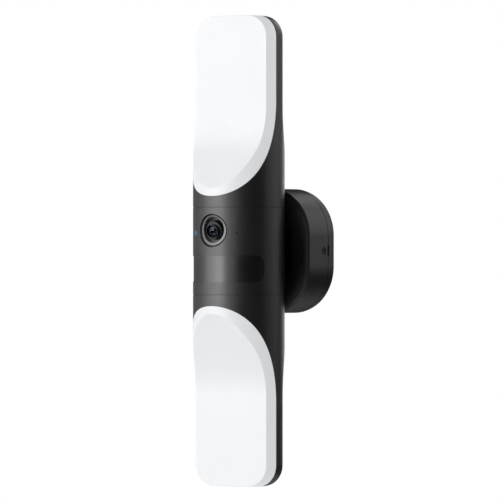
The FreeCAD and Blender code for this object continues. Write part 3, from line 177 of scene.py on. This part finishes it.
def metal(name, dark, light, rough_low, rough_high, stretch=(1, 1, 1), scratch=0.15):
    """Plain or brushed metal: streaks along one axis in tone, gloss and height."""
    made = Shader(name).set(Metallic=1.0)
    mapping = made.node("ShaderNodeMapping")
    mapping.inputs["Scale"].default_value = stretch
    made.link(made.coordinates, mapping.inputs["Vector"])
    streak = made.node("ShaderNodeTexNoise", Scale=900.0, Detail=3.0)
    made.link(mapping.outputs["Vector"], streak.inputs["Vector"])
    made.colour(made.blend(made.remap(streak.outputs["Fac"], 0, 1), dark, light))
    made.roughness(made.remap(streak.outputs["Fac"], rough_low, rough_high))
    made.normal(made.bump(streak.outputs["Fac"], scratch, 0.02 * MM))
    return made.material


def diffuser_white():
    """Opal plastic with the lamp's light behind it."""
    made = Shader("diffuser_white").set(
        IOR=1.49, Subsurface_Weight=0.6, Subsurface_Scale=6 * MM, Subsurface_Radius=(1.0, 0.98, 0.95),
        Emission_Color=(0.96, 0.98, 1.0, 1), Emission_Strength=0.585,
    )
    dark, light = (0.195, 0.198, 0.201), (0.215, 0.218, 0.221)
    made.colour(made.blend(made.remap(made.noise(12), 0, 1), dark, light))
    made.roughness(made.remap(made.noise(70, 3), 0.36, 0.44))
    made.normal(made.bump(made.noise(2600, 2), 0.1, 0.02 * MM))
    return made.material


def window_black():
    """The motion sensor's window: smooth dark plastic, a little wavy."""
    made = Shader("window_black").set(IOR=1.66)
    dark, light = (0.003, 0.003, 0.0034), (0.005, 0.005, 0.0055)
    made.colour(made.blend(made.remap(made.noise(40), 0, 1), dark, light))
    made.roughness(made.remap(made.noise(120, 3), 0.33, 0.37))
    made.normal(made.bump(made.noise(55, 2), 0.12, 0.15 * MM))
    return made.material


def lens_glass():
    """Dark coated glass, which the inner element just shows through."""
    made = Shader("lens_glass").set(
        IOR=1.5, Roughness=0.05, Transmission_Weight=1.0, Specular_Tint=(0.30, 0.38, 0.48, 1),
    )
    dark, light = (0.16, 0.18, 0.22), (0.19, 0.21, 0.25)
    made.colour(made.blend(made.remap(made.noise(300), 0, 1), dark, light))
    return made.material


def lens_coated():
    """The inner element: dark glass with a blue coating."""
    made = Shader("lens_coated").set(IOR=1.5, Roughness=0.12, Specular_Tint=(0.22, 0.26, 0.42, 1))
    dark, light = (0.0015, 0.0018, 0.0045), (0.0030, 0.0025, 0.0065)
    made.colour(made.blend(made.remap(made.noise(400), 0, 1), dark, light))
    return made.material


def status_blue():
    """The status light, lit blue."""
    made = Shader("status_blue").set(
        Roughness=0.30, Emission_Color=(0.028, 0.120, 0.255, 1), Emission_Strength=0.8,
    )
    dark, light = (0.008, 0.030, 0.065), (0.012, 0.040, 0.080)
    made.colour(made.blend(made.remap(made.noise(1500), 0, 1), dark, light))
    return made.material


def board(name, dark, light):
    """A circuit board: solder mask over faint copper tracks."""
    made = Shader(name).set(Roughness=0.35, Coat_Weight=0.2)
    tracks = made.node("ShaderNodeTexBrick", Scale=160.0)
    made.link(made.coordinates, tracks.inputs["Vector"])
    made.colour(made.blend(tracks.outputs["Fac"], dark, light))
    made.normal(made.bump(tracks.outputs["Fac"], 0.1, 0.03 * MM))
    return made.material


def rubber_black():
    """Dull rubber: the seals, the gasket, the grommet and the button."""
    made = Shader("rubber_black").set(IOR=1.45)
    dark, light = (0.012, 0.012, 0.012), (0.022, 0.022, 0.023)
    made.colour(made.blend(made.remap(made.noise(200), 0, 1), dark, light))
    made.roughness(made.remap(made.noise(300, 3), 0.62, 0.78))
    made.normal(made.bump(made.noise(1800, 3), 0.3, 0.04 * MM))
    return made.material


MATERIALS = {
    "housing_black": moulded(
        "housing_black", (0.0095, 0.0096, 0.0100), (0.0120, 0.0121, 0.0125), 0.40, 0.44, IOR=1.62,
    ),
    "diffuser_white": diffuser_white(),
    "window_black": window_black(),
    "lens_ring_grey": moulded(
        "lens_ring_grey", (0.078, 0.080, 0.082), (0.090, 0.092, 0.094), 0.38, 0.42, 0.1, Metallic=1.0,
    ),
    "lens_black": moulded("lens_black", (0.004, 0.004, 0.004), (0.007, 0.007, 0.007), 0.34, 0.42, 0.1),
    "lens_glass": lens_glass(),
    "lens_coated": lens_coated(),
    "steel": metal("steel", (0.42, 0.42, 0.43), (0.6, 0.6, 0.61), 0.28, 0.42, (1, 1, 6)),
    "swivel_metal": moulded(
        "swivel_metal", (0.012, 0.012, 0.013), (0.02, 0.02, 0.021), 0.45, 0.6, 0.4, 0.6 * MM,
    ),
    "aluminium": metal("aluminium", (0.62, 0.63, 0.65), (0.78, 0.79, 0.8), 0.3, 0.45, (6, 1, 1)),
    "board_green": board("board_green", (0.004, 0.05, 0.02), (0.01, 0.09, 0.035)),
    "board_white": board("board_white", (0.72, 0.73, 0.72), (0.8, 0.8, 0.79)),
    "led_yellow": moulded("led_yellow", (0.8, 0.6, 0.12), (0.9, 0.7, 0.2), 0.3, 0.4, 0.05),
    "component_black": moulded(
        "component_black", (0.012, 0.012, 0.012), (0.022, 0.022, 0.022), 0.45, 0.6, 0.3,
    ),
    "component_metal": metal("component_metal", (0.5, 0.5, 0.51), (0.68, 0.68, 0.69), 0.3, 0.42),
    "copper": metal("copper", (0.55, 0.2, 0.08), (0.7, 0.3, 0.14), 0.28, 0.4, (1, 1, 8), 0.3),
    "rubber_black": rubber_black(),
    "status_blue": status_blue(),
    "terminal_grey": moulded("terminal_grey", (0.3, 0.3, 0.31), (0.38, 0.38, 0.39), 0.4, 0.5, 0.2),
}
OWN_MATERIAL = {"lens_inner_element": "lens_coated"}  # nodes that differ from their slot's material


def dress_nodes():
    """Gives every CAD node its material, and smooth shading between its sharp edges."""
    for part in frame["record"]["subparts"]:
        obj = nodes[part["node"]]
        obj.data.materials.clear()
        obj.data.materials.append(MATERIALS[OWN_MATERIAL.get(part["node"], part["material_slot"])])
        obj.data.shade_smooth()
        obj.data.set_sharp_from_angle(angle=CAD_SHARP)


# ------------------------------------------------------------------ pieces made here

TURN_STEPS = 160
ROUND_STEPS = 4


def rounded(corners):
    """The points of a closed profile. Each corner is (across, along, how far back the rounding starts)."""
    points = []
    for i, (across, along, reach) in enumerate(corners):
        corner = Vector((across, along))
        if not reach:
            points.append(corner)
            continue
        start, end = (
            corner + (Vector(other[:2]) - corner).normalized() * reach
            for other in (corners[i - 1], corners[(i + 1) % len(corners)])
        )
        for step in range(ROUND_STEPS + 1):
            t = step / ROUND_STEPS
            points.append(start * (1 - t) ** 2 + corner * 2 * t * (1 - t) + end * t ** 2)
    return points


def swept(name, place, count, material, *replaced):
    """A closed profile carried round a loop: place(angle, i) is where its point i lies at that angle."""
    made = bmesh.new()
    rings = [
        [made.verts.new(place(2 * math.pi * turn / TURN_STEPS, i)) for i in range(count)]
        for turn in range(TURN_STEPS)
    ]
    for a, b in zip(rings, rings[1:] + rings[:1]):
        for i in range(count):
            j = (i + 1) % count
            made.faces.new((a[i], a[j], b[j], b[i]))
    bmesh.ops.remove_doubles(made, verts=made.verts, dist=1e-7)
    on_axis = [edge for edge in made.edges if not edge.link_faces]
    bmesh.ops.delete(made, geom=on_axis, context="EDGES")
    bmesh.ops.recalc_face_normals(made, faces=made.faces)
    mesh = bpy.data.meshes.new(name)
    made.to_mesh(mesh)
    made.free()
    mesh.materials.append(MATERIALS[material])
    mesh.shade_smooth()
    mesh.set_sharp_from_angle(angle=OWN_SHARP)
    obj = bpy.data.objects.new(name, mesh)
    bpy.context.scene.collection.objects.link(obj)
    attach(obj, "light_bar")
    if replaced:
        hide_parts(*replaced)
    return obj


def turned(name, points, origin, way, material, *replaced):
    """A piece made on a lathe: points are (distance from the axis, distance along it) from origin."""
    side = Vector((1, 0, 0))
    up = side.cross(way)

    def place(angle, i):
        radius, along = points[i]
        return origin + (side * math.cos(angle) + up * math.sin(angle)) * radius + way * along

    return swept(name, place, len(points), material, *replaced)


def trim_ring():
    """The grey ring round the lens: it follows the housing's curve, and its face leans in a little."""
    low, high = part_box("lens_ring")
    outer = size("lens_ring").x / 2
    centre = middle("lens_ring")
    face_radius = BAR_AXIS.y - low.y
    width = outer - RING_BORE
    lean, deep = 0.4 * MM, 9 * MM  # from the outer edge's front: to the bore's edge, and to the back
    outer_round, bore_round = 0.3 * MM, 0.25 * MM
    points = rounded([(0, deep, 0), (0, 0, outer_round), (width, lean, bore_round), (width, deep, 0)])

    def place(angle, i):
        across, depth = points[i]
        share = across / width
        radius = outer - across
        x = radius * math.cos(angle)
        z = centre.z + RING_BORE_LIFT * share + radius * math.sin(angle)
        y = BAR_AXIS.y - math.sqrt(face_radius ** 2 - x ** 2) + depth
        return Vector((x, min(y, high.y), z))

    swept("lens_trim_ring", place, len(points), "lens_ring_grey", "lens_ring")


def lens_cup():
    """The dark cup inside the ring: its wall steps down to the lens in fine rings that stop stray light."""
    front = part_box("lens_bowl")[0].y
    origin = Vector((0, front, middle("lens_ring").z + RING_BORE_LIFT))
    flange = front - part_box("lens_ring")[1].y
    mouth, throat, depth, steps = 10.5 * MM, 7.6 * MM, 4.2 * MM, 5
    thick, edge, rim = 1.0 * MM, 0.12 * MM, RING_BORE + 4 * MM
    corners = [
        (throat, -depth - thick, 0), (RING_BORE, -depth - thick, 0), (RING_BORE, flange - thick, 0),
        (rim, flange - thick, 0), (rim, flange, 0), (RING_BORE, flange, 0), (RING_BORE, 0, edge),
        (mouth, 0, edge),
    ]
    for step in range(steps):
        here, there = (math.pi / 2 * k / steps for k in (step, step + 1))
        along = -depth * math.sin(there)
        inner_edge = edge / 2 if step < steps - 1 else 0
        corners.append((throat + (mouth - throat) * math.cos(here), along, edge / 2))
        corners.append((throat + (mouth - throat) * math.cos(there), along, inner_edge))
    turned("lens_cup", rounded(corners), origin, Vector((0, -1, 0)), "lens_black", "lens_bowl")


def lens_collar():
    """A thin collar on the cup's flange, which closes the groove round the ring from the inside."""
    outer, inner, tall, sunk, edge = 14.45 * MM, 13.9 * MM, 2.6 * MM, 0.4 * MM, 0.1 * MM
    corners = [(inner, -sunk, 0), (outer, -sunk, 0), (outer, tall, edge), (inner, tall, edge)]
    origin = Vector((0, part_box("lens_ring")[1].y, middle("lens_ring").z))
    turned("lens_collar", rounded(corners), origin, Vector((0, -1, 0)), "lens_black")


def lens():
    """Barrel, the thin ring that holds its front glass, and the glass. Its profiles are in millimetres."""
    barrel = [
        (4.3, -9.0, 0), (8.2, -9.0, 0), (8.2, -3.4, 0.45), (6.25, -3.4, 0.2), (6.25, -0.4, 0),
        (5.75, -0.4, 0), (5.75, -2.5, 0), (5.2, -2.5, 0.08), (5.2, -2.9, 0), (4.7, -2.9, 0.08),
        (4.7, -3.3, 0), (4.3, -3.3, 0.08),
    ]
    rim = [(6.25, -0.4, 0), (6.25, 0.05, 0.2), (5.82, 0.05, 0.12), (5.75, -0.4, 0)]
    for name, corners, material, replaced in (
        ("lens_barrel_shell", barrel, "lens_black", ["lens_barrel"]),
        ("lens_rim", rim, "lens_ring_grey", []),
    ):
        points = rounded([tuple(value * MM for value in corner) for corner in corners])
        turned(name, points, LENS_TIP, LENS_WAY, material, *replaced)
    aperture, sphere, proud, back, steps = 5.74 * MM, 7.2 * MM, 0.5 * MM, -2.3 * MM, 16
    dome = [aperture * k / steps for k in range(steps + 1)]
    points = [(r, proud - sphere + math.sqrt(sphere ** 2 - r ** 2)) for r in dome]
    turned("lens_dome", [*points, (aperture, back), (0, back)], LENS_TIP, LENS_WAY, "lens_glass",
           "lens_front_glass")


# ------------------------------------------------------------------ studio

CAMERA_AZIMUTH = 36.0
CAMERA_DISTANCE = 4.63
CAMERA_LENS = 382.0  # millimetres of focal length, on a sensor 36 wide
CAMERA_SENSOR = 36.0
AIM_RIGHT = 0.0097  # what it looks at, from the middle of the bar
AIM_UP = 0.0009

SOFTBOXES = {  # azimuth, elevation, distance, width, height, power
    "left": (-73, 12, 1.6, 1.00, 1.6, 3.6),
    "key_left": (-46, 12, 1.6, 0.58, 1.6, 8.9),
    "key_middle": (-28, 12, 1.6, 0.46, 1.6, 9.5),
    "key_right": (-12, 12, 1.6, 0.46, 1.6, 15.8),
    "right_fill": (12, 12, 1.6, 0.92, 1.6, 5.4),
    "left_edge": (-108, 5, 1.6, 0.50, 1.6, 1.2),
    "side": (118, 20, 1.8, 0.50, 1.2, 2.4),
    "right_edge": (137, 15, 1.8, 0.40, 1.4, 1.6),
    "back": (152, 20, 1.8, 0.60, 1.2, 2.6),
    "back_edge": (190, 12, 1.8, 0.55, 1.4, 5.6),
    "back_high": (170, 35, 1.8, 0.80, 0.8, 0.8),
}
AMBIENT = 0.018
FLOOR_RADIUS = 0.7
FLOOR_DROP = 0.30  # below the bar's lower end


def direction(azimuth, elevation=0.0):
    """From the object towards a place: azimuth 0 is straight in front of it, 90 is on +X."""
    a, e = math.radians(azimuth), math.radians(elevation)
    return Vector((math.sin(a) * math.cos(e), -math.cos(a) * math.cos(e), math.sin(e)))


def camera():
    """A long lens, level with the middle of the bar."""
    data = bpy.data.cameras.new("camera")
    data.lens = CAMERA_LENS
    data.sensor_width = CAMERA_SENSOR
    data.clip_start, data.clip_end = 0.05, 60
    obj = bpy.data.objects.new("camera", data)
    bpy.context.scene.collection.objects.link(obj)
    towards = direction(CAMERA_AZIMUTH)
    right = Vector((math.cos(math.radians(CAMERA_AZIMUTH)), math.sin(math.radians(CAMERA_AZIMUTH)), 0))
    aim = BAR_AXIS + right * AIM_RIGHT + Vector((0, 0, AIM_UP))
    obj.location = aim + towards * CAMERA_DISTANCE
    obj.rotation_euler = (-towards).to_track_quat("-Z", "Y").to_euler()
    bpy.context.scene.camera = obj


def softbox(name, azimuth, elevation, distance, width, height, power):
    """A white area light that faces the bar."""
    data = bpy.data.lights.new(name, "AREA")
    data.shape = "RECTANGLE"
    data.size, data.size_y = width, height
    data.energy = power
    obj = bpy.data.objects.new(name, data)
    bpy.context.scene.collection.objects.link(obj)
    towards = direction(azimuth, elevation)
    obj.location = BAR_AXIS + towards * distance
    obj.rotation_euler = (-towards).to_track_quat("-Z", "Y").to_euler()


def world():
    """A white backdrop for the camera, and a dimmer even light on the object."""
    made = bpy.data.worlds.new("studio")
    bpy.context.scene.world = made
    made.use_nodes = True
    tree = made.node_tree
    tree.nodes.clear()
    seen = tree.nodes.new("ShaderNodeBackground")
    seen.inputs["Color"].default_value = (1, 1, 1, 1)
    seen.inputs["Strength"].default_value = 1.0
    light = tree.nodes.new("ShaderNodeBackground")
    light.inputs["Color"].default_value = (1, 1, 1, 1)
    light.inputs["Strength"].default_value = AMBIENT
    path = tree.nodes.new("ShaderNodeLightPath")
    mix = tree.nodes.new("ShaderNodeMixShader")
    out = tree.nodes.new("ShaderNodeOutputWorld")
    tree.links.new(path.outputs["Is Camera Ray"], mix.inputs[0])
    tree.links.new(light.outputs[0], mix.inputs[1])
    tree.links.new(seen.outputs[0], mix.inputs[2])
    tree.links.new(mix.outputs[0], out.inputs["Surface"])


def floor():
    """A plain pale disc under the object."""
    mesh = bpy.data.meshes.new("floor")
    made = bmesh.new()
    bmesh.ops.create_circle(made, cap_ends=True, segments=96, radius=FLOOR_RADIUS)
    bmesh.ops.translate(made, verts=made.verts, vec=(0, 0, cad_low.z - FLOOR_DROP))
    made.to_mesh(mesh)
    made.free()
    obj = bpy.data.objects.new("floor", mesh)
    bpy.context.scene.collection.objects.link(obj)
    pale = Shader("floor_pale").set(Roughness=0.6)
    pale.colour(pale.blend(pale.remap(pale.noise(3), 0, 1), (0.8, 0.8, 0.8), (0.83, 0.83, 0.83)))
    mesh.materials.append(pale.material)


def studio():
    camera()
    world()
    floor()
    for name, place in SOFTBOXES.items():
        softbox(name, *place)
    view = bpy.context.scene.view_settings
    view.view_transform = "Standard"
    view.look = "None"


dress_nodes()
trim_ring()
lens_cup()
lens_collar()
lens()
studio()
